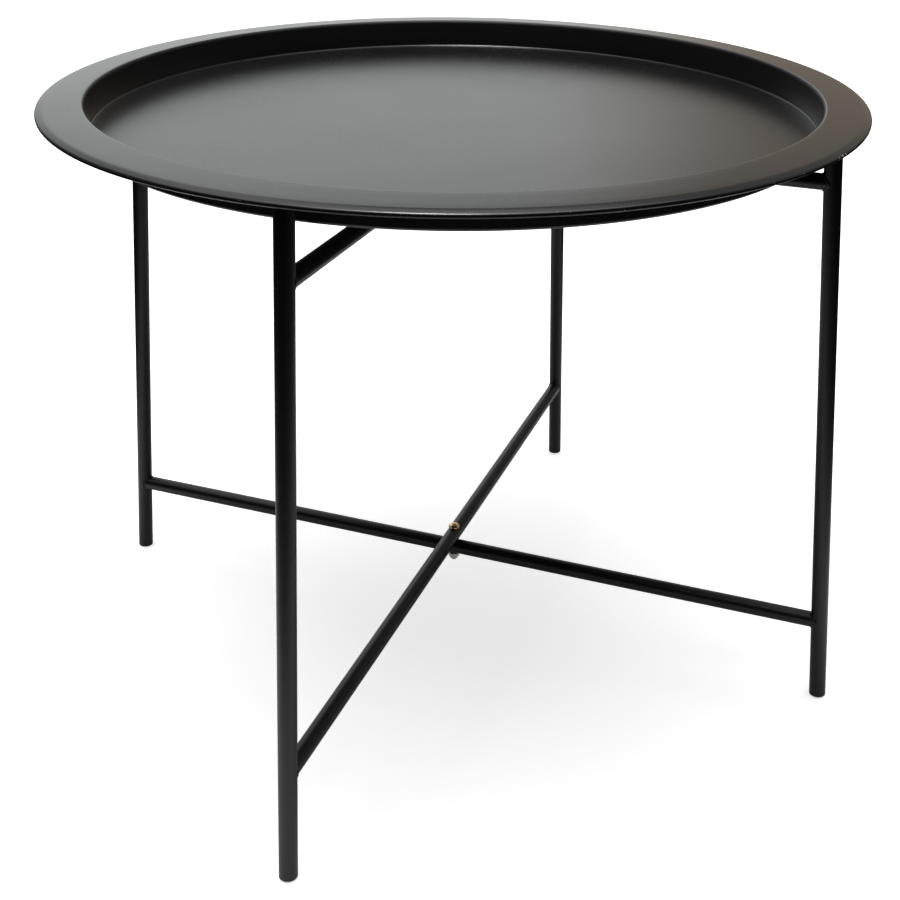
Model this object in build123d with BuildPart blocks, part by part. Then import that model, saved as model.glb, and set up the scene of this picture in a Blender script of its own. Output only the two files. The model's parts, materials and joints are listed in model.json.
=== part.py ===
from build123d import *
import os
from math import atan, cos, degrees, hypot, radians, sin, tan

# Folding side table: a round pressed tray that rests on two welded tube
# frames, crossed and bolted together on one vertical axis.
# Millimetres, +Z up, origin on the floor below the pivot axis, front at -Y.

# Driving dimensions
TRAY_DIAMETER = 600.0
TABLE_HEIGHT = 468.5
TRAY_DEPTH = 23.3
SHEET = 1.0
LEG_TUBE = 12.7
BAR_TUBE = 12.0
TUBE_WALL = 1.2
OPEN_ANGLE = 90.0  # between the two frames, measured across the front
FOOT_CIRCLE = 311.0  # radius on the floor where the leg axes land
HEAD_CIRCLE = 275.6  # radius of the leg axes under the rim
LOWER_PIVOT = 74.3  # height of the joint between the two lower crossbars
UPPER_PIVOT = 417.1  # height of the joint between the two upper crossbars
BOLT = 5.0  # M5 pivot bolts

# Tray section
WALL_TOP_RADIUS = 267.3  # inside of the wall, before the bend
WALL_DRAFT = 1.5  # degrees
RIM_SLOPE = 3.0  # degrees, falling outwards
SHOULDER_SLOPE = 20.0
SHOULDER_RUN = 4.5
HEM_DROP = 1.9
HEM_RETURN = 2.9
HEM_LIP = 1.6
FLOOR_BEND = 2.0  # all bends to the middle of the sheet
RIM_BEND = 2.2
SHOULDER_BEND = 8.0
EDGE_BEND = 1.2
HEM_BEND = 1.0

# Frames
SWING_AZIMUTH = 90 - OPEN_ANGLE / 2  # front left to back right
FIXED_AZIMUTH = 90 + OPEN_ANGLE / 2  # front right to back left
BAR_GAP = 0.3
PLUG_DOME = 16.0
PLUG_FLANGE = 2.6
PLUG_STEM = 12.0
PLUG_RIB = 0.15
RIB_COUNT = 3
RIB_START = 2.5  # from the tube end to the first rib
RIB_PITCH = 3.5
RIB_WIDTH = 1.0
FOOT_WEAR = 0.25  # height worn flat on each foot
PLUG_CLEARANCE = 0.2
WELD_LEG = 1.3
WELD_THROAT = 0.9

# Fasteners
BOLT_LENGTH = 31.0
HEAD_DIAMETER = 9.2
HEAD_HEIGHT = 2.6
HEAD_EDGE = 0.8
BOLT_TIP = 0.6
RECESS_SPAN = 5.0
RECESS_WIDTH = 1.1
RECESS_CORE = 1.9
RECESS_DEPTH = 1.6
DOME_SHOULDER = (0.84, 0.78)  # shares of the head radius and height that the dome passes through
NUT_FLATS = 8.0
NUT_HEX = 3.6
NUT_HEIGHT = 5.0
NUT_COLLAR = 7.2
NUT_TURN = 35.0  # degrees the nuts stopped at
COLLAR_ROUND = 0.8
INSERT_DIAMETER = 6.4
INSERT_HEIGHT = 1.2
RUNNING_CLEARANCE = 0.05
SEAT_PLAY = 0.1

os.makedirs("parts", exist_ok=True)


def save(piece, name):
    """Label a finished piece and write its STEP file."""
    piece.label = name
    export_step(piece, f"parts/{name}.step")


# ---------------------------------------------------------------- tray
half = SHEET / 2
floor_z = TABLE_HEIGHT - TRAY_DEPTH - half
wall_top = WALL_TOP_RADIUS + half
wall_bottom = wall_top - TRAY_DEPTH * tan(radians(WALL_DRAFT))
rim_fall = tan(radians(RIM_SLOPE))
# The bend's crest is the highest point, so the sloping rim's corner stands above it.
rim_z = TABLE_HEIGHT - half + RIM_BEND * (rim_fall + 1 / cos(radians(RIM_SLOPE)) - 1)
edge_radius = TRAY_DIAMETER / 2 - half
shoulder_radius = edge_radius - SHOULDER_RUN
shoulder_z = rim_z - (shoulder_radius - wall_top) * rim_fall
edge_z = shoulder_z - SHOULDER_RUN * tan(radians(SHOULDER_SLOPE))
hem_z = edge_z - HEM_DROP

with BuildPart() as tray:
    with BuildSketch(Plane.XZ):
        with BuildLine():
            FilletPolyline(
                (0, floor_z),
                (wall_bottom, floor_z),
                (wall_top, rim_z),
                (shoulder_radius, shoulder_z),
                (edge_radius, edge_z),
                (edge_radius, hem_z),
                (edge_radius - HEM_RETURN, hem_z),
                (edge_radius - HEM_RETURN, hem_z + HEM_LIP),
                radius=[FLOOR_BEND, RIM_BEND, SHOULDER_BEND, EDGE_BEND, HEM_BEND, HEM_BEND],
            )
        trace(line_width=SHEET)
    revolve(axis=Axis.Z)
save(tray.part, "tray")


# -------------------------------------------------------------- frames
def rim_underside(radius):
    """Height of the rim's lower face at a radius, on its sloping stretch."""
    return rim_z - (radius - wall_top) * rim_fall - half / cos(radians(RIM_SLOPE))


leg_top_z = rim_underside(HEAD_CIRCLE) - PLUG_CLEARANCE
splay_run = FOOT_CIRCLE - HEAD_CIRCLE
splay = atan(splay_run / leg_top_z)
leg_length = hypot(splay_run, leg_top_z)
leg_radius = LEG_TUBE / 2
bar_radius = BAR_TUBE / 2


def outward(azimuth):
    """Horizontal unit vector at an azimuth."""
    return Vector(cos(radians(azimuth)), sin(radians(azimuth)), 0)


def leg_axis(azimuth):
    """Unit vector up a leg, leaning in towards the pivot axis."""
    return Vector(0, 0, cos(splay)) - outward(azimuth) * sin(splay)


def leg_section(azimuth, along):
    """Plane square to a leg, at a distance up its axis from the floor."""
    axis = leg_axis(azimuth)
    foot = outward(azimuth) * FOOT_CIRCLE
    return Plane(origin=foot + axis * along, x_dir=outward(azimuth).cross(axis), z_dir=axis)


def leg_profile(azimuth):
    """Plane through a leg's axis: x leaves the axis, y runs up it from the floor."""
    axis = leg_axis(azimuth)
    aside = Vector(0, 0, 1).cross(outward(azimuth))
    return Plane(origin=outward(azimuth) * FOOT_CIRCLE, x_dir=aside, z_dir=aside.cross(axis))


def make_leg(azimuth):
    """Straight leg tube, cut square at both ends."""
    with BuildPart() as leg:
        with BuildSketch(leg_section(azimuth, PLUG_FLANGE)):
            Circle(leg_radius)
            Circle(leg_radius - TUBE_WALL, mode=Mode.SUBTRACT)
        extrude(amount=leg_length - 2 * PLUG_FLANGE)
    return leg.part


def make_plug(azimuth, at_foot):
    """Domed plastic plug with a ribbed stem, for the foot or the head of a leg."""
    way = 1 if at_foot else -1
    start = 0 if at_foot else leg_length
    tip = -FOOT_WEAR if at_foot else 0
    rise = PLUG_DOME - (PLUG_DOME**2 - leg_radius**2) ** 0.5
    stem_radius = leg_radius - TUBE_WALL - PLUG_RIB
    seat = start + way * PLUG_FLANGE
    stem_end = seat + way * PLUG_STEM
    lean = leg_profile(azimuth)
    with BuildPart() as plug:
        with BuildSketch(lean) as outline:
            with BuildLine():
                Line((0, start + way * tip), (0, stem_end))
                Line((0, stem_end), (stem_radius, stem_end))
                Line((stem_radius, stem_end), (stem_radius, seat))
                Line((stem_radius, seat), (leg_radius, seat))
                Line((leg_radius, seat), (leg_radius, start + way * (tip + rise)))
                RadiusArc(
                    (leg_radius, start + way * (tip + rise)),
                    (0, start + way * tip),
                    way * PLUG_DOME,
                )
            make_face()
        revolve(axis=Axis(lean.origin, leg_axis(azimuth)))
        for rib in range(RIB_COUNT):
            rib_at = seat + way * (RIB_START + RIB_PITCH * rib)
            with BuildSketch(leg_section(azimuth, rib_at)):
                Circle(stem_radius + PLUG_RIB)
            extrude(amount=RIB_WIDTH)
        if at_foot:
            # The tread is worn level with the floor.
            split(bisect_by=Plane.XY, keep=Keep.TOP)
    return plug.part


def make_bar(azimuth, height, hole_radius):
    """Crossbar tube, saddled onto both legs and drilled for the pivot bolt."""
    reach = FOOT_CIRCLE - height * tan(splay)
    with BuildPart() as bar:
        with BuildSketch(Plane(origin=(0, 0, height), x_dir=(0, 0, 1), z_dir=outward(azimuth))):
            Circle(bar_radius)
            Circle(bar_radius - TUBE_WALL, mode=Mode.SUBTRACT)
        extrude(amount=reach, both=True)
        for end in (azimuth, azimuth + 180):
            with BuildSketch(leg_section(end, 0)):
                Circle(leg_radius)
            extrude(amount=leg_length, mode=Mode.SUBTRACT)
        with BuildSketch(Plane.XY.offset(height - BAR_TUBE)):
            Circle(hole_radius)
        extrude(amount=2 * BAR_TUBE, mode=Mode.SUBTRACT)
    return bar.part


def make_weld(azimuth, height):
    """Weld bead round the saddle between a crossbar and a leg."""
    reach = FOOT_CIRCLE - height * tan(splay)
    across = Plane(origin=(0, 0, height), x_dir=(0, 0, 1), z_dir=outward(azimuth))
    with BuildPart() as weld:
        with BuildSketch(across.offset(reach - 2 * LEG_TUBE)):
            Circle(bar_radius + WELD_THROAT)
            Circle(bar_radius, mode=Mode.SUBTRACT)
        extrude(amount=2 * LEG_TUBE - WELD_LEG)
        with BuildSketch(leg_section(azimuth, 0)):
            Circle(leg_radius + WELD_LEG)
        extrude(amount=leg_length, mode=Mode.INTERSECT)
        with BuildSketch(leg_section(azimuth, 0)):
            Circle(leg_radius)
        extrude(amount=leg_length, mode=Mode.SUBTRACT)
    return weld.part


LEGS = {
    "front_left": SWING_AZIMUTH - 180,
    "back_right": SWING_AZIMUTH,
    "front_right": FIXED_AZIMUTH - 180,
    "back_left": FIXED_AZIMUTH,
}
for place, azimuth in LEGS.items():
    save(make_leg(azimuth), f"leg_{place}")
    save(make_plug(azimuth, at_foot=True), f"foot_{place}")
    save(make_plug(azimuth, at_foot=False), f"cap_{place}")

# The lower swing bar lies on the fixed bar, the upper one hangs below it.
bar_offset = (BAR_TUBE + BAR_GAP) / 2
fixed_hole = BOLT / 2
swing_hole = BOLT / 2 + RUNNING_CLEARANCE
BARS = {
    "lower_swing": (SWING_AZIMUTH, LOWER_PIVOT + bar_offset, swing_hole),
    "lower_fixed": (FIXED_AZIMUTH, LOWER_PIVOT - bar_offset, fixed_hole),
    "upper_swing": (SWING_AZIMUTH, UPPER_PIVOT - bar_offset, swing_hole),
    "upper_fixed": (FIXED_AZIMUTH, UPPER_PIVOT + bar_offset, fixed_hole),
}
for place, (azimuth, height, hole_radius) in BARS.items():
    save(make_bar(azimuth, height, hole_radius), f"crossbar_{place}")
    for side, turn in (("front", 180), ("back", 0)):
        save(make_weld(azimuth - turn, height), f"weld_{place}_{side}")

# ----------------------------------------------------------- fasteners
# Each is made once at the origin, with the face that meets the crossbars at z = 0.
stack = bar_offset + bar_radius + SEAT_PLAY  # from a pivot's height to either seat
HEAD_SEATS = [(0, 0, pivot + stack) for pivot in (LOWER_PIVOT, UPPER_PIVOT)]
NUT_SEATS = [(0, 0, pivot - stack) for pivot in (LOWER_PIVOT, UPPER_PIVOT)]
head_radius = HEAD_DIAMETER / 2

with BuildPart() as bolt:
    with BuildSketch(Plane.XZ):
        with BuildLine():
            Polyline(
                (0, HEAD_HEIGHT),
                (0, -BOLT_LENGTH),
                (BOLT / 2 - BOLT_TIP, -BOLT_LENGTH),
                (BOLT / 2, BOLT_TIP - BOLT_LENGTH),
                (BOLT / 2, 0),
                (head_radius, 0),
                (head_radius, HEAD_EDGE),
            )
            ThreePointArc(
                (head_radius, HEAD_EDGE),
                (DOME_SHOULDER[0] * head_radius, DOME_SHOULDER[1] * HEAD_HEIGHT),
                (0, HEAD_HEIGHT),
            )
        make_face()
    revolve(axis=Axis.Z)
    with BuildSketch(Plane.XY.offset(HEAD_HEIGHT - RECESS_DEPTH)):
        for turn in (0, 90):
            Rectangle(RECESS_SPAN, RECESS_WIDTH, rotation=turn)
        Circle(RECESS_CORE / 2)
    extrude(amount=2 * RECESS_DEPTH, mode=Mode.SUBTRACT)

with BuildPart() as nut:
    with BuildSketch():
        RegularPolygon(NUT_FLATS / 2, 6, major_radius=False, rotation=NUT_TURN)
    extrude(amount=-NUT_HEX)
    with BuildSketch(Plane.XZ):
        with BuildLine():
            Polyline(
                (0, 0),
                (NUT_FLATS / 2, 0),
                (NUT_FLATS / 2 + NUT_HEX / 2, -NUT_HEX / 3),
                (NUT_FLATS / 2 + NUT_HEX / 2, -NUT_HEX),
                (0, -NUT_HEX),
                close=True,
            )
        make_face()
    revolve(axis=Axis.Z, mode=Mode.INTERSECT)
    with BuildSketch(Plane.XY.offset(-NUT_HEX)):
        Circle(NUT_COLLAR / 2)
    extrude(amount=NUT_HEX - NUT_HEIGHT)
    fillet(nut.edges().group_by(Axis.Z)[0], radius=COLLAR_ROUND)
    with BuildSketch():
        Circle(BOLT / 2)
    extrude(amount=-NUT_HEIGHT, mode=Mode.SUBTRACT)
    with BuildSketch(Plane.XY.offset(-NUT_HEIGHT)):
        Circle(INSERT_DIAMETER / 2)
    extrude(amount=INSERT_HEIGHT, mode=Mode.SUBTRACT)

with BuildPart() as insert:
    with BuildSketch(Plane.XY.offset(-NUT_HEIGHT)):
        Circle(INSERT_DIAMETER / 2)
        Circle(BOLT / 2, mode=Mode.SUBTRACT)
    extrude(amount=INSERT_HEIGHT)

for piece, seats, name in (
    (bolt, HEAD_SEATS, "pivot_bolts"),
    (nut, NUT_SEATS, "lock_nuts"),
    (insert, NUT_SEATS, "nut_inserts"),
):
    with BuildPart() as pair:
        with Locations(*seats):
            add(piece.part)
    save(pair.part, name)

print(f"splay {degrees(splay):.2f} deg, leg top {leg_top_z:.2f}, leg length {leg_length:.2f}")
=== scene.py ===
import json
from math import atan2, ceil, cos, hypot, pi, radians, sin, sqrt, tan

import bpy
from mathutils import Matrix, Vector, noise


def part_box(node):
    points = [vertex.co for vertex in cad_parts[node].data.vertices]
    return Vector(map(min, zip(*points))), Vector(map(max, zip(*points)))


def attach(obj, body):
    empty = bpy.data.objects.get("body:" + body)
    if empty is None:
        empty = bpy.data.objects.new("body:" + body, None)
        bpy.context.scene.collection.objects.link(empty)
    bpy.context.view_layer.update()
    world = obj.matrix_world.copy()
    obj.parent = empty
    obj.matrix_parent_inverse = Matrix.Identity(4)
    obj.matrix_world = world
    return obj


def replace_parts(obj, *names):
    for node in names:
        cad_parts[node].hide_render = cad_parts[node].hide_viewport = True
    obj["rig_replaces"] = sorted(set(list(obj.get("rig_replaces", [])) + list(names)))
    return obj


# Folding side table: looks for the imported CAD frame. Metres, +Z up.
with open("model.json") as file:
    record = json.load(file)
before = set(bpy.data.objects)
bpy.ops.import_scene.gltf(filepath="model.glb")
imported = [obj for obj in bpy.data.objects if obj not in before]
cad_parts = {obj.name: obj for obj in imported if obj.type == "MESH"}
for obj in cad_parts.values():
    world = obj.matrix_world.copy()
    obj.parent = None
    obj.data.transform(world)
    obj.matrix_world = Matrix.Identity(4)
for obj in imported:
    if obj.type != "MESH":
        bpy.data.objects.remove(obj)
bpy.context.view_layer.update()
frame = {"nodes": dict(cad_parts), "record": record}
nodes = frame["nodes"]
body_of = {n: b for b, members in frame["record"]["behaviour"]["bodies"].items() for n in members}
MM = 0.001

# ------------------------------------------------------------ mesh helpers


def add_piece(name, verts, faces, replaced, sharp=None):
    """Mesh from points in metres that stands for CAD nodes of one body."""
    mesh = bpy.data.meshes.new(name)
    mesh.from_pydata([tuple(v) for v in verts], [], faces)
    mesh.update()
    mesh.polygons.foreach_set("use_smooth", [True] * len(mesh.polygons))
    if sharp is not None:
        mesh.set_sharp_from_angle(angle=radians(sharp))
    piece = bpy.data.objects.new(name, mesh)
    bpy.context.scene.collection.objects.link(piece)
    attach(piece, body_of[replaced[0]])
    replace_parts(piece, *replaced)
    return piece


def bridge_rings(ring_starts, count):
    """Quads between rings of count points each, whose first indices are given."""
    faces = []
    for a, b in zip(ring_starts, ring_starts[1:]):
        for i in range(count):
            j = (i + 1) % count
            faces.append((a + i, a + j, b + j, b + i))
    return faces


def lathe(section, count):
    """Points and faces of a section (r, z) turned about Z; both its ends lie on the axis."""
    verts = [(0, 0, section[0][1])]
    for r, z in section[1:-1]:
        verts += [(r * cos(2 * pi * i / count), r * sin(2 * pi * i / count), z) for i in range(count)]
    verts.append((0, 0, section[-1][1]))
    starts = [1 + k * count for k in range(len(section) - 2)]
    faces = bridge_rings(starts, count)
    for i in range(count):
        j = (i + 1) % count
        faces.append((0, starts[0] + j, starts[0] + i))
        faces.append((len(verts) - 1, starts[-1] + i, starts[-1] + j))
    return verts, faces


def rounded_path(corners, radii, step=radians(7)):
    """Samples (x, z, heading) along straight lines joined by arcs."""
    headings = [atan2(b[1] - a[1], b[0] - a[0]) for a, b in zip(corners, corners[1:])]
    samples = [(*corners[0], headings[0])]
    for at, before, after, radius in zip(corners[1:], headings, headings[1:], radii):
        turn = (after - before + pi) % (2 * pi) - pi
        setback = radius * tan(abs(turn) / 2)
        side = 1 if turn > 0 else -1
        cx = at[0] - setback * cos(before) - side * radius * sin(before)
        cz = at[1] - setback * sin(before) + side * radius * cos(before)
        steps = max(3, ceil(abs(turn) / step))
        for i in range(steps + 1):
            h = before + turn * i / steps
            samples.append((cx + side * radius * sin(h), cz - side * radius * cos(h), h))
    samples.append((*corners[-1], headings[-1]))
    return samples


# -------------------------------------------------------------------- tray
SHEET = 1.0
TRAY_DEPTH = 23.3
tray_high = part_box("tray")[1]
TRAY_RADIUS = tray_high.x / MM
TABLE_TOP = tray_high.z / MM
WALL_TOP_RADIUS = 267.3
WALL_DRAFT = 1.5
RIM_SLOPE = 3.0
SHOULDER_SLOPE = 20.0
SHOULDER_RUN = 4.5
HEM_DROP = 1.9
HEM_RETURN = 2.9
HEM_LIP = 1.6
BENDS = (2.0, 2.2, 8.0, 1.2, 1.0, 1.0)
TRAY_SEGMENTS = 384
FLOOR_RINGS = 26
WAVE_HEIGHT = 0.16
WAVE_SIZE = 95.0
CALM_WIDTH = 25  # the waves die out this near the wall

half = SHEET / 2
floor_z = TABLE_TOP - TRAY_DEPTH - half
wall_top = WALL_TOP_RADIUS + half
wall_bottom = wall_top - TRAY_DEPTH * tan(radians(WALL_DRAFT))
rim_fall = tan(radians(RIM_SLOPE))
rim_z = TABLE_TOP - half + BENDS[1] * (rim_fall + 1 / cos(radians(RIM_SLOPE)) - 1)
edge_r = TRAY_RADIUS - half
shoulder_r = edge_r - SHOULDER_RUN
shoulder_z = rim_z - (shoulder_r - wall_top) * rim_fall
edge_z = shoulder_z - SHOULDER_RUN * tan(radians(SHOULDER_SLOPE))
hem_z = edge_z - HEM_DROP


def make_tray():
    """Pressed sheet with a rolled hem, and the faint waves a pressed disc keeps."""
    path = rounded_path(
        [
            (0, floor_z),
            (wall_bottom, floor_z),
            (wall_top, rim_z),
            (shoulder_r, shoulder_z),
            (edge_r, edge_z),
            (edge_r, hem_z),
            (edge_r - HEM_RETURN, hem_z),
            (edge_r - HEM_RETURN, hem_z + HEM_LIP),
        ],
        BENDS,
    )
    dense = [path[0]]
    for a, b in zip(path, path[1:]):
        gap = hypot(b[0] - a[0], b[1] - a[1])
        parts = max(1, ceil(gap / (wall_bottom / FLOOR_RINGS)))
        for k in range(1, parts + 1):
            t = k / parts
            dense.append((a[0] + (b[0] - a[0]) * t, a[1] + (b[1] - a[1]) * t, b[2] if t == 1 else a[2]))
    upper = [(x - half * sin(h), z + half * cos(h)) for x, z, h in dense]
    lower = [(x + half * sin(h), z - half * cos(h)) for x, z, h in dense]
    x, z, h = dense[-1]
    lip = [
        (x + half * sin(h + a), z - half * cos(h + a))
        for a in (pi * k / 6 for k in range(5, 0, -1))
    ]
    section = upper + lip + lower[::-1]
    section[0] = (0, section[0][1])
    section[-1] = (0, section[-1][1])
    verts, faces = lathe(section, TRAY_SEGMENTS)
    moved = []
    for x, y, z in verts:
        r = hypot(x, y)
        calm = min(1, max(0, (wall_bottom - r) / CALM_WIDTH))
        wave = noise.noise(Vector((x / WAVE_SIZE, y / WAVE_SIZE, 3.1)))
        moved.append(Vector((x, y, z + WAVE_HEIGHT * wave * calm)) * MM)
    return add_piece("tray_pressing", moved, faces, ["tray"])


tray = make_tray()

# -------------------------------------------------------- frames and welds
BAR_RADIUS = 6.0
LEG_RADIUS = 6.35
BEAD_SEGMENTS = 168
BEAD_SIDES = 14
BEAD_RADIUS = 1.05
RIPPLE_PITCH = 1.5
BEAD_SINK = 0.25  # how far a bead's middle sits inside the corner
LEG_END_REACH = 0.002  # metres; points this near a leg's end give its middle

leg_places = {p: None for p in ("front_left", "back_right", "front_right", "back_left")}
for place in leg_places:
    co = [v.co for v in nodes[f"leg_{place}"].data.vertices]
    low_z = min(v.z for v in co)
    high_z = max(v.z for v in co)
    ends = []
    for near in (low_z, high_z):
        part = [v for v in co if abs(v.z - near) < LEG_END_REACH]
        ends.append(sum(part, Vector()) / len(part))
    leg_places[place] = ends


def closest_leg(point):
    """Ends of the leg whose axis passes nearest to a point."""

    def gap(ends):
        axis = (ends[1] - ends[0]).normalized()
        rel = point - ends[0]
        return (rel - axis * rel.dot(axis)).length

    return min(leg_places.values(), key=gap)


def make_weld(node):
    """Rippled bead that follows the saddle between a crossbar and a leg."""
    low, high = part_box(node)
    middle = (low + high) / 2
    leg = closest_leg(middle)
    leg_axis = (leg[1] - leg[0]).normalized()
    outward = Vector((middle.x, middle.y, 0)).normalized()
    aside = Vector((0, 0, 1)).cross(outward)
    on_bar = Vector((0, 0, middle.z))
    bar_r, leg_r = BAR_RADIUS * MM, LEG_RADIUS * MM
    seed = hash_of(node)
    path = []
    for i in range(BEAD_SEGMENTS):
        turn = 2 * pi * i / BEAD_SEGMENTS
        radial = aside * cos(turn) + Vector((0, 0, 1)) * sin(turn)
        start = on_bar + radial * bar_r
        # Where the bar's surface line meets the leg's surface, on the pivot side.
        rel = start - leg[0]
        flat = rel - leg_axis * rel.dot(leg_axis)
        way = outward - leg_axis * outward.dot(leg_axis)
        a, b, c = way.dot(way), 2 * flat.dot(way), flat.dot(flat) - leg_r**2
        root = max(0.0, b * b - 4 * a * c)
        along = (-b - sqrt(root)) / (2 * a)
        point = start + outward * along
        rel = point - leg[0]
        leg_normal = (rel - leg_axis * rel.dot(leg_axis)).normalized()
        path.append((point, radial, leg_normal))
    length = sum((path[i][0] - path[i - 1][0]).length for i in range(BEAD_SEGMENTS))
    ripples = round(length / (RIPPLE_PITCH * MM))
    verts = []
    for i, (point, radial, leg_normal) in enumerate(path):
        turn = i / BEAD_SEGMENTS
        phase = (turn * ripples + 0.12 * noise.noise(Vector((seed, turn * 9, 1)))) % 1
        scallop = 0.84 + 0.16 * sqrt(max(0, 1 - (2 * phase - 1) ** 2))
        wander = 1 + 0.16 * noise.noise(Vector((cos(2 * pi * turn) * 1.7, sin(2 * pi * turn) * 1.7, seed)))
        size = BEAD_RADIUS * MM * scallop * wander
        ahead = (path[(i + 1) % BEAD_SEGMENTS][0] - path[i - 1][0]).normalized()
        out = (radial + leg_normal - ahead * (radial + leg_normal).dot(ahead)).normalized()
        across = ahead.cross(out)
        centre = point - out * BEAD_SINK * MM
        for k in range(BEAD_SIDES):
            angle = 2 * pi * k / BEAD_SIDES
            verts.append(centre + out * size * cos(angle) + across * size * 1.12 * sin(angle))
    starts = [k * BEAD_SIDES for k in range(BEAD_SEGMENTS)] + [0]
    return add_piece(node.replace("weld_", "bead_"), verts, bridge_rings(starts, BEAD_SIDES), [node])


def hash_of(name):
    """Small number that is the same each run for the same name."""
    return sum((i + 1) * ord(c) for i, c in enumerate(name)) % 97 / 7


beads = [make_weld(n) for n in sorted(nodes) if n.startswith("weld_")]

# --------------------------------------------------------------- fasteners
BOLT_LENGTH = 31.0
BOLT_RADIUS = 2.5
HEAD_RADIUS = 4.6
HEAD_HEIGHT = 2.6
HEAD_EDGE = 0.8
THREAD_PITCH = 0.8
THREAD_DEPTH = 0.42
THREAD_RUN = 12.0
THREAD_STEPS = 8
TIP_TAPER = 0.6
BOLT_SIDES = 56
HEAD_STEPS = 14
RECESS_TOP = (2.45, 0.62)  # half length and half width of each slot at the head's crown
RECESS_BOTTOM = (0.95, 0.36)
RECESS_DEPTH = 1.7
CUTTER_RISE = 0.2  # the cutters stand this far out of the crown
BOLT_TURNS = (radians(22), radians(68))


def bolt_rings():
    """Rings of points from the bolt's tip, up its thread and shank, over its head."""
    rings = []

    def ring(z, radius_at):
        turns = [2 * pi * i / BOLT_SIDES for i in range(BOLT_SIDES)]
        rings.append([(radius_at(a) * cos(a), radius_at(a) * sin(a), z) for a in turns])

    steps = round(THREAD_RUN / THREAD_PITCH * THREAD_STEPS)
    for k in range(steps + 1):
        rise = THREAD_RUN * k / steps
        fade = min(1, (THREAD_RUN - rise) / THREAD_PITCH)

        def threaded(a, rise=rise, fade=fade):
            phase = (rise / THREAD_PITCH - a / (2 * pi)) % 1
            groove = THREAD_DEPTH * max(0, 1.15 - abs(2 * phase - 1) * 1.5) * fade
            return min(BOLT_RADIUS - min(groove, THREAD_DEPTH), BOLT_RADIUS - TIP_TAPER + rise)

        ring(rise - BOLT_LENGTH, threaded)
    ring(0, lambda a: BOLT_RADIUS)
    ring(0, lambda a: HEAD_RADIUS - 0.15)
    ring(0.15, lambda a: HEAD_RADIUS)
    for k in range(HEAD_STEPS):
        a = pi / 2 * k / HEAD_STEPS
        level = HEAD_EDGE + (HEAD_HEIGHT - HEAD_EDGE) * sin(a) ** 0.85
        ring(level, lambda _, a=a: HEAD_RADIUS * cos(a))
    return rings


def recess_cutter(turn):
    """Closed wedge that cuts one slot of the cross recess."""
    corners = []
    levels = ((RECESS_BOTTOM, HEAD_HEIGHT - RECESS_DEPTH), (RECESS_TOP, HEAD_HEIGHT + CUTTER_RISE))
    for (half_long, half_wide), z in levels:
        for x, y in ((-1, -1), (1, -1), (1, 1), (-1, 1)):
            px, py = x * half_long, y * half_wide
            corners.append((px * cos(turn) - py * sin(turn), px * sin(turn) + py * cos(turn), z))
    faces = [(3, 2, 1, 0), (4, 5, 6, 7), (0, 1, 5, 4), (1, 2, 6, 5), (2, 3, 7, 6), (3, 0, 4, 7)]
    return corners, faces


def scratch_object(name, verts, faces):
    mesh = bpy.data.meshes.new(name)
    mesh.from_pydata(verts, [], faces)
    made = bpy.data.objects.new(name, mesh)
    bpy.context.scene.collection.objects.link(made)
    return made


def make_bolt_mesh(turn):
    """Points and faces of one pan-head bolt with its cross recess, seat at z = 0, millimetres."""
    rings = bolt_rings()
    verts = [(0, 0, -BOLT_LENGTH)] + [p for r in rings for p in r] + [(0, 0, HEAD_HEIGHT)]
    starts = [1 + k * BOLT_SIDES for k in range(len(rings))]
    faces = bridge_rings(starts, BOLT_SIDES)
    for i in range(BOLT_SIDES):
        j = (i + 1) % BOLT_SIDES
        faces.append((0, starts[0] + j, starts[0] + i))
        faces.append((len(verts) - 1, starts[-1] + i, starts[-1] + j))
    blank = scratch_object("bolt_blank", verts, faces)
    cutters = [scratch_object(f"cutter_{k}", *recess_cutter(turn + k * pi / 2)) for k in (0, 1)]
    for cutter in cutters:
        cut = blank.modifiers.new(cutter.name, "BOOLEAN")
        cut.operation = "DIFFERENCE"
        cut.solver = "EXACT"
        cut.object = cutter
    bpy.context.view_layer.update()
    result = blank.evaluated_get(bpy.context.evaluated_depsgraph_get()).to_mesh()
    made = [v.co.copy() for v in result.vertices], [tuple(p.vertices) for p in result.polygons]
    for scratch in (blank, *cutters):
        bpy.data.objects.remove(scratch)
    return made


def make_bolts():
    """Both pivot bolts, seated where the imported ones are."""
    low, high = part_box("pivot_bolts")
    verts, faces = [], []
    for seat, turn in zip((low.z / MM + BOLT_LENGTH, high.z / MM - HEAD_HEIGHT), BOLT_TURNS):
        points, polygons = make_bolt_mesh(turn)
        first = len(verts)
        verts += [Vector((p.x, p.y, p.z + seat)) * MM for p in points]
        faces += [tuple(first + i for i in polygon) for polygon in polygons]
    return add_piece("pivot_bolt_pair", verts, faces, ["pivot_bolts"], sharp=32)


bolts = make_bolts()

# --------------------------------------------------------------- materials

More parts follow.
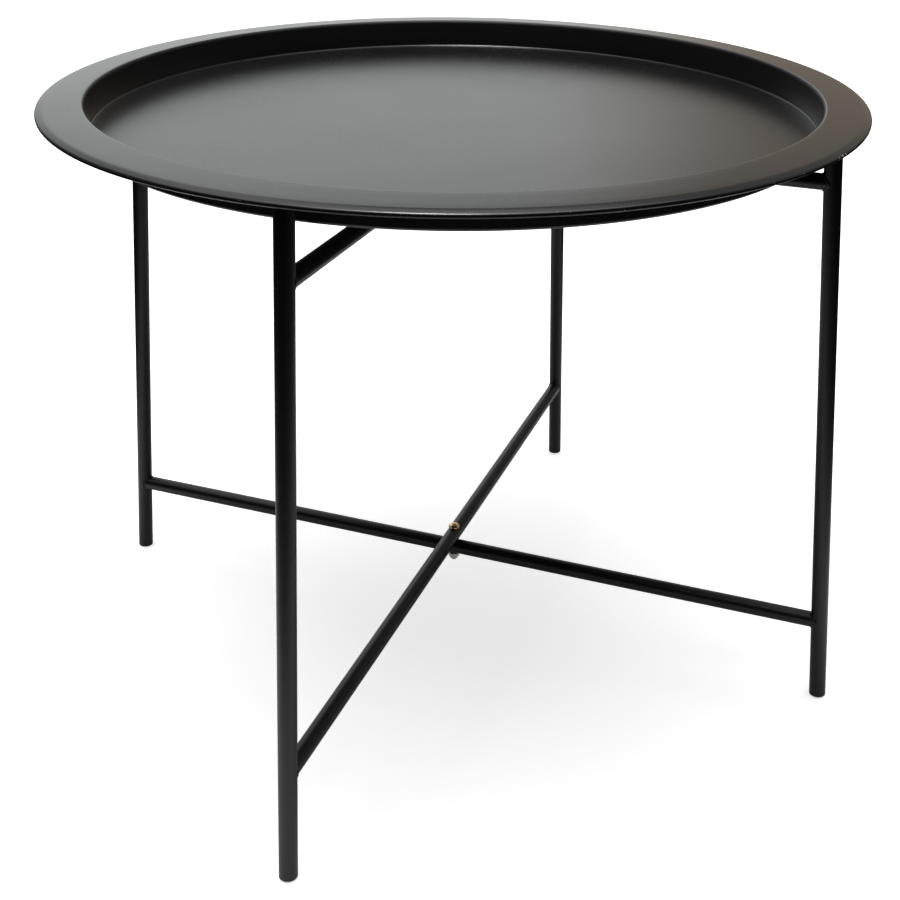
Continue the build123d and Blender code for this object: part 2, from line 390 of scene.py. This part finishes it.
class Nodes:
    """Short way to build a node tree."""

    def __init__(self, tree):
        self.tree = tree
        tree.nodes.clear()

    def add(self, kind, **values):
        """New node; keys such as in_0 and in_Scale set inputs, other keys set properties."""
        node = self.tree.nodes.new(kind)
        for key, value in values.items():
            if key.startswith("in_"):
                which = key[3:]
                socket = node.inputs[int(which) if which.isdigit() else which.replace("_", " ")]
                if hasattr(value, "is_output"):
                    self.tree.links.new(value, socket)
                else:
                    socket.default_value = value
            else:
                setattr(node, key, value)
        return node

    def math(self, operation, a, b=0.0, c=0.0, clamp=False):
        node = self.add("ShaderNodeMath", operation=operation, use_clamp=clamp, in_0=a, in_1=b, in_2=c)
        return node.outputs[0]

    def noise(self, vector, scale, detail=2.0, rough=0.5):
        node = self.add("ShaderNodeTexNoise", in_Vector=vector, in_Scale=scale, in_Detail=detail)
        node.inputs["Roughness"].default_value = rough
        return node.outputs[0]

    def ramp(self, value, low, high, to_low=0.0, to_high=1.0, smooth=True):
        node = self.add("ShaderNodeMapRange", in_0=value, in_1=low, in_2=high, in_3=to_low, in_4=to_high)
        node.interpolation_type = "SMOOTHSTEP" if smooth else "LINEAR"
        return node.outputs[0]

    def mix(self, factor, a, b):
        node = self.add("ShaderNodeMix", data_type="RGBA", in_0=factor)
        for socket, value in ((node.inputs[6], a), (node.inputs[7], b)):
            if hasattr(value, "is_output"):
                self.tree.links.new(value, socket)
            else:
                socket.default_value = value
        return node.outputs[2]


def new_material(name):
    material = bpy.data.materials.new(name)
    material.use_nodes = True
    tree = Nodes(material.node_tree)
    shader = tree.add("ShaderNodeBsdfPrincipled")
    output = tree.add("ShaderNodeOutputMaterial")
    material.node_tree.links.new(shader.outputs[0], output.inputs[0])
    position = tree.add("ShaderNodeTexCoord").outputs["Object"]
    return material, tree, shader, position


def grey(value, tint=(1, 1, 1)):
    return (value * tint[0], value * tint[1], value * tint[2], 1)


CLOUD_GLOSS = 0.007
HEM_HIGHLIGHT_AZIMUTH = radians(-61)  # where a painted highlight sits on the hem's edge, near a leg


def powder_coat(name, tone, rough, ior, peel_size, peel_height, hem=False):
    """Black powder coat: orange peel, cloudy gloss, dust, rubs, and on a hem a painted highlight of light
    metallic flecks near one leg.
    """
    material, t, shader, position = new_material(name)
    link = material.node_tree.links.new
    cloud = t.noise(position, 14.0, 3.0)
    grain = t.noise(position, 2.2 / peel_size, 2.0, 0.6)
    peel = t.noise(position, 0.9 / peel_size, 3.0, 0.55)
    rub_way = t.add("ShaderNodeMapping", in_Vector=position, in_Scale=(18.0, 18.0, 150.0)).outputs[0]
    rub = t.ramp(t.noise(rub_way, 1.0, 4.0, 0.6), 0.62, 0.78)
    cells = t.add("ShaderNodeTexVoronoi", in_Vector=position, in_Scale=260.0, in_Randomness=1.0)
    near = t.ramp(cells.outputs["Distance"], 0.05, 0.11, 1.0, 0.0)
    few = t.add("ShaderNodeSeparateColor", in_0=cells.outputs["Color"]).outputs[0]
    speck = t.math("MULTIPLY", near, t.math("GREATER_THAN", few, 0.965))
    tint = t.mix(cloud, grey(tone * 0.8, (1.0, 1.0, 1.02)), grey(tone * 1.25, (1.0, 1.0, 1.0)))
    tint = t.mix(t.math("MULTIPLY", rub, 0.15), tint, grey(tone * 2.6))
    tint = t.mix(t.math("MULTIPLY", speck, 0.3), tint, grey(0.13, (1.0, 0.97, 0.92)))
    gloss = t.ramp(cloud, 0.3, 0.7, rough - CLOUD_GLOSS, rough + CLOUD_GLOSS)
    gloss = t.math("ADD", gloss, t.math("MULTIPLY", rub, 0.02))
    gloss = t.math("ADD", gloss, t.math("MULTIPLY", t.math("SUBTRACT", grain, 0.5), 0.12))
    metal = None
    if hem:
        # The coat is duller down the steep wall, and light metallic flecks near one leg paint a highlight on
        # the hem's edge.
        height_in = t.add("ShaderNodeSeparateXYZ", in_0=position).outputs[2]
        level = t.add("ShaderNodeVectorMath", operation="MULTIPLY", in_0=position, in_1=(1, 1, 0)).outputs[0]
        radius = t.add("ShaderNodeVectorMath", operation="LENGTH", in_0=level).outputs["Value"]
        inside = t.ramp(radius, (wall_bottom - 0.6) * MM, (wall_bottom + 0.2) * MM)
        outside = t.ramp(radius, (wall_top + 1.2) * MM, (wall_top + 0.1) * MM)
        over = t.ramp(height_in, (floor_z + 0.8) * MM, (floor_z + 2.5) * MM)
        wall = t.math("MULTIPLY", t.math("MULTIPLY", inside, outside), over)
        link(t.ramp(wall, 0, 1, 0.5, 0.2), shader.inputs["Specular IOR Level"])
        gloss = t.math("ADD", gloss, t.math("MULTIPLY", wall, 0.3))
        where = t.ramp(radius, (TRAY_RADIUS - 0.9) * MM, (TRAY_RADIUS - 0.3) * MM)
        fleck = t.noise(position, 420.0, 3.0, 0.6)
        highlight_x, highlight_y = TRAY_RADIUS * cos(HEM_HIGHLIGHT_AZIMUTH), TRAY_RADIUS * sin(HEM_HIGHLIGHT_AZIMUTH)
        highlight_point = (highlight_x * MM, highlight_y * MM, hem_z * MM)
        gap = t.add("ShaderNodeVectorMath", operation="DISTANCE", in_0=position, in_1=highlight_point).outputs["Value"]
        # Painted highlight: light metallic flecks crowd around this point on the hem's edge.
        worn = t.ramp(gap, 0.014, 0.005)
        highlight_flecks = t.ramp(t.math("ADD", fleck, t.math("MULTIPLY", worn, 0.14)), 0.68, 0.72)
        painted_highlight = t.math("MULTIPLY", where, highlight_flecks, clamp=True)
        tint = t.mix(painted_highlight, tint, grey(0.5, (1.0, 0.98, 0.94)))
        gloss = t.math("ADD", gloss, t.math("MULTIPLY", painted_highlight, 0.08))
        metal = t.math("MULTIPLY", painted_highlight, 0.3)
    link(tint, shader.inputs["Base Color"])
    link(gloss, shader.inputs["Roughness"])
    if metal is not None:
        link(metal, shader.inputs["Metallic"])
    shader.inputs["IOR"].default_value = ior
    height = t.math("ADD", t.math("MULTIPLY", peel, 0.75), t.math("MULTIPLY", grain, 0.25))
    bump = t.add("ShaderNodeBump", in_Strength=1.0, in_Distance=peel_height * MM, in_Height=height)
    link(bump.outputs[0], shader.inputs["Normal"])
    return material


def moulded_plastic(name, tone, rough, worn):
    """Black moulded plastic with fine texture, and a scuffed tread where it is worn."""
    material, t, shader, position = new_material(name)
    link = material.node_tree.links.new
    grain = t.noise(position, 2600.0, 3.0, 0.6)
    cloud = t.noise(position, 60.0, 3.0)
    tint = t.mix(cloud, grey(tone * 0.8), grey(tone * 1.3))
    gloss = t.ramp(cloud, 0.3, 0.7, rough - 0.05, rough + 0.05)
    if worn:
        height = t.add("ShaderNodeSeparateXYZ", in_0=position).outputs[2]
        tread = t.ramp(height, 0.0015, 0.0001)
        scuff = t.math("MULTIPLY", tread, t.ramp(t.noise(position, 900.0, 4.0, 0.7), 0.35, 0.65))
        tint = t.mix(t.math("MULTIPLY", scuff, 0.8), tint, grey(0.13, (1.0, 0.96, 0.9)))
        gloss = t.math("ADD", gloss, t.math("MULTIPLY", scuff, 0.3))
    link(tint, shader.inputs["Base Color"])
    link(gloss, shader.inputs["Roughness"])
    shader.inputs["IOR"].default_value = 1.46
    bump = t.add("ShaderNodeBump", in_Strength=1.0, in_Distance=0.00002, in_Height=grain)
    link(bump.outputs[0], shader.inputs["Normal"])
    return material


def plated_metal(name, light, deep, rough, blush):
    """Zinc-plated steel: a tone that drifts, passivation tints and fine scratches."""
    material, t, shader, position = new_material(name)
    link = material.node_tree.links.new
    drift = t.noise(position, 260.0, 3.0, 0.6)
    film = t.noise(position, 520.0, 2.0)
    scratch_way = t.add("ShaderNodeMapping", in_Vector=position, in_Scale=(3000.0, 500.0, 900.0)).outputs[0]
    scratch = t.noise(scratch_way, 1.0, 3.0, 0.7)
    tint = t.mix(t.ramp(drift, 0.3, 0.7), light, deep)
    tint = t.mix(t.math("MULTIPLY", t.ramp(film, 0.55, 0.75), 0.45), tint, blush)
    link(tint, shader.inputs["Base Color"])
    shader.inputs["Metallic"].default_value = 1.0
    gloss = t.ramp(scratch, 0.2, 0.8, rough - 0.06, rough + 0.1)
    link(gloss, shader.inputs["Roughness"])
    bump = t.add("ShaderNodeBump", in_Strength=1.0, in_Distance=0.000012, in_Height=scratch)
    link(bump.outputs[0], shader.inputs["Normal"])
    return material


def nylon(name):
    """Milky locking ring, a little yellowed."""
    material, t, shader, position = new_material(name)
    link = material.node_tree.links.new
    cloud = t.noise(position, 700.0, 3.0)
    milky = t.mix(cloud, grey(0.62, (1.0, 0.98, 0.9)), grey(0.75, (1.0, 0.99, 0.95)))
    link(milky, shader.inputs["Base Color"])
    link(t.ramp(cloud, 0.3, 0.7, 0.42, 0.55), shader.inputs["Roughness"])
    shader.inputs["Subsurface Weight"].default_value = 0.15
    shader.inputs["Subsurface Radius"].default_value = (0.001, 0.0009, 0.0007)
    return material


finishes = {
    "tray_coating": powder_coat("satin_powder_tray", 0.005, 0.25, 1.5, 0.0014, 0.008, hem=True),
    "frame_coating": powder_coat("satin_powder_frame", 0.0022, 0.40, 1.46, 0.0011, 0.016),
    "weld_coating": powder_coat("satin_powder_weld", 0.004, 0.36, 1.46, 0.0008, 0.02),
    "foot_plastic": moulded_plastic("foot_plastic_black", 0.010, 0.5, True),
    "cap_plastic": moulded_plastic("cap_plastic_black", 0.010, 0.5, False),
    "bolt_zinc": plated_metal(
        "yellow_zinc", (0.93, 0.72, 0.40, 1), (0.86, 0.58, 0.27, 1), 0.12, (0.78, 0.48, 0.36, 1)
    ),
    "nut_zinc": plated_metal(
        "bright_zinc", (0.92, 0.92, 0.92, 1), (0.76, 0.77, 0.78, 1), 0.2, (0.78, 0.80, 0.86, 1)
    ),
    "nut_nylon": nylon("locking_nylon"),
}


def slot_of(node):
    """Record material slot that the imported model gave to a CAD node."""
    return nodes[node].material_slots[0].material.name.split(".")[0]


slots = {name: slot_of(name) for name in nodes}
for name, node in nodes.items():
    for material_slot in node.material_slots:
        material_slot.material = finishes[slots[name]]
for piece in [tray, *beads, bolts]:
    kind = slots[piece["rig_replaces"][0]]
    piece.data.materials.append(finishes[kind])

# ------------------------------------------------- camera, floor and light
LENS = 52.161
SHIFT = (-0.03876, -0.20013)
CAMERA_BACK = 0.95929
CAMERA_UP = 0.68460
CAMERA_PITCH = 0.3629
CAMERA_ROLL = -0.0137
CAMERA_YAW = 0.0242
CAMERA_TURN = radians(-24.55)

camera_data = bpy.data.cameras.new("camera")
camera_data.sensor_width = 36
camera_data.lens = LENS
camera_data.shift_x, camera_data.shift_y = SHIFT
camera_data.clip_start = 0.02
camera = bpy.data.objects.new("camera", camera_data)
bpy.context.scene.collection.objects.link(camera)
right = Vector((cos(CAMERA_YAW), -sin(CAMERA_YAW), 0))
level_way = Vector((sin(CAMERA_YAW), cos(CAMERA_YAW), 0))
forward = level_way * cos(CAMERA_PITCH) - Vector((0, 0, sin(CAMERA_PITCH)))
up = right.cross(forward)
rolled_right = cos(CAMERA_ROLL) * right - sin(CAMERA_ROLL) * up
rolled_up = sin(CAMERA_ROLL) * right + cos(CAMERA_ROLL) * up
axes = Matrix((rolled_right, rolled_up, -forward)).transposed().to_4x4()
turned = Matrix.Rotation(CAMERA_TURN, 4, "Z")
camera.matrix_world = turned @ Matrix.Translation((0, -CAMERA_BACK, CAMERA_UP)) @ axes
bpy.context.scene.camera = camera
away = turned.to_3x3() @ Vector((0, 1, 0))
sideways = turned.to_3x3() @ Vector((1, 0, 0))


def make_floor():
    """Wide pale floor; to anything but the camera it carries a painted pool of light, bright near the table
    and fading to painted dark away from it.
    """
    size, rings, count = 14.0, 24, 96
    verts, faces = [(0, 0, 0)], []
    for k in range(1, rings + 1):
        r = size * (k / rings) ** 2
        verts += [(r * cos(2 * pi * i / count), r * sin(2 * pi * i / count), 0) for i in range(count)]
    starts = [1 + k * count for k in range(rings)]
    faces = bridge_rings(starts, count)
    faces += [(0, 1 + i, 1 + (i + 1) % count) for i in range(count)]
    mesh = bpy.data.meshes.new("floor")
    mesh.from_pydata(verts, [], faces)
    floor = bpy.data.objects.new("floor", mesh)
    floor.location.z = -0.0002
    bpy.context.scene.collection.objects.link(floor)
    material, t, shader, position = new_material("pale_floor")
    link = material.node_tree.links.new
    distance = t.add("ShaderNodeVectorMath", operation="LENGTH", in_0=position).outputs["Value"]
    # Painted pool of light for non-camera rays: a bright tone near the table, a painted dark tone far from
    # it.
    fade = t.ramp(distance, FLOOR_NEAR, FLOOR_FAR, FLOOR_PAINTED_LIT_TONE, FLOOR_PAINTED_DARK_TONE)
    seen = t.add("ShaderNodeLightPath").outputs["Is Camera Ray"]
    speckle = t.ramp(t.noise(position, 40.0, 4.0), 0.3, 0.7, 0.93, 0.95)
    tone = t.add("ShaderNodeMix", data_type="FLOAT", in_0=seen, in_2=fade, in_3=speckle).outputs[0]
    colour = t.add("ShaderNodeCombineColor", in_0=tone, in_1=tone, in_2=tone).outputs[0]
    link(colour, shader.inputs["Base Color"])
    shader.inputs["Roughness"].default_value = 0.9
    shader.inputs["Specular IOR Level"].default_value = 0.0
    lift = t.add("ShaderNodeCombineColor", in_0=seen, in_1=seen, in_2=seen).outputs[0]
    link(lift, shader.inputs["Emission Color"])
    shader.inputs["Emission Strength"].default_value = FLOOR_LIFT
    mesh.materials.append(material)


# Reach and tones of the floor's painted pool of light.
FLOOR_NEAR, FLOOR_FAR = 0.46, 0.78
FLOOR_PAINTED_LIT_TONE, FLOOR_PAINTED_DARK_TONE = 0.8, 0.01
FLOOR_LIFT = 0.62
make_floor()

TOP_LIGHT = 2.4
HIGH_LIGHT = 0.3
BACK_LIGHT = 1.15
SIDE_LIGHT = 0.1
WARM_LIGHT = 0.37
FRONT_LIGHT = 0.012
WALL_LEAN = 0.35  # the bright wall behind is taller on the left


def make_world():
    """Studio light: bright behind and above, softer on the left, dim and warm on the right."""
    world = bpy.data.worlds.new("studio")
    world.use_nodes = True
    bpy.context.scene.world = world
    t = Nodes(world.node_tree)
    link = world.node_tree.links.new
    way = t.add("ShaderNodeTexCoord").outputs["Generated"]

    def along(axis):
        node = t.add("ShaderNodeVectorMath", operation="DOT_PRODUCT", in_0=way, in_1=tuple(axis))
        return node.outputs["Value"]

    back, aside, height = along(away), along(sideways), along((0, 0, 1))
    azimuth = t.math("ARCTAN2", aside, back)
    left_side = t.ramp(azimuth, radians(-48), radians(-16))
    right_side = t.ramp(azimuth, radians(3), radians(15))
    wall = t.mix(left_side, grey(SIDE_LIGHT), grey(BACK_LIGHT, (0.97, 1.0, 0.99)))
    wall = t.mix(right_side, wall, grey(WARM_LIGHT, (1.2, 1.0, 0.8)))
    far_right = t.ramp(azimuth, radians(24), radians(55))
    wall = t.mix(far_right, wall, grey(SIDE_LIGHT, (1.2, 1.0, 0.8)))
    front = t.ramp(back, 0.15, -0.35)
    wall = t.mix(front, wall, grey(FRONT_LIGHT))
    leaning = t.math("ADD", height, t.math("MULTIPLY", aside, WALL_LEAN))
    above = t.ramp(leaning, sin(radians(24)), sin(radians(36)))
    high = t.math("MULTIPLY", HIGH_LIGHT, t.ramp(aside, -0.35, 0.0, 3.6, 0.9))
    high = t.add("ShaderNodeCombineColor", in_0=high, in_1=high, in_2=high).outputs[0]
    wall = t.mix(above, wall, t.mix(front, high, grey(FRONT_LIGHT)))
    top = t.ramp(height, sin(radians(50)), sin(radians(68)))
    light = t.mix(top, wall, grey(TOP_LIGHT))
    seen = t.add("ShaderNodeLightPath").outputs["Is Camera Ray"]
    shown = t.mix(seen, light, grey(1.0))
    background = t.add("ShaderNodeBackground", in_Color=shown, in_Strength=1.0)
    output = t.add("ShaderNodeOutputWorld")
    link(background.outputs[0], output.inputs[0])


make_world()

KEY_SIZE = 0.5
KEY_HEIGHT = 2.3
KEY_POWER = 34.0
key_data = bpy.data.lights.new("key", "AREA")
key_data.shape = "DISK"
key_data.size = KEY_SIZE
key_data.energy = KEY_POWER
key = bpy.data.objects.new("key", key_data)
key.location = -0.25 * away - 0.15 * sideways + Vector((0, 0, KEY_HEIGHT))
key.visible_camera = False
bpy.context.scene.collection.objects.link(key)
bpy.context.scene.view_settings.view_transform = "Standard"
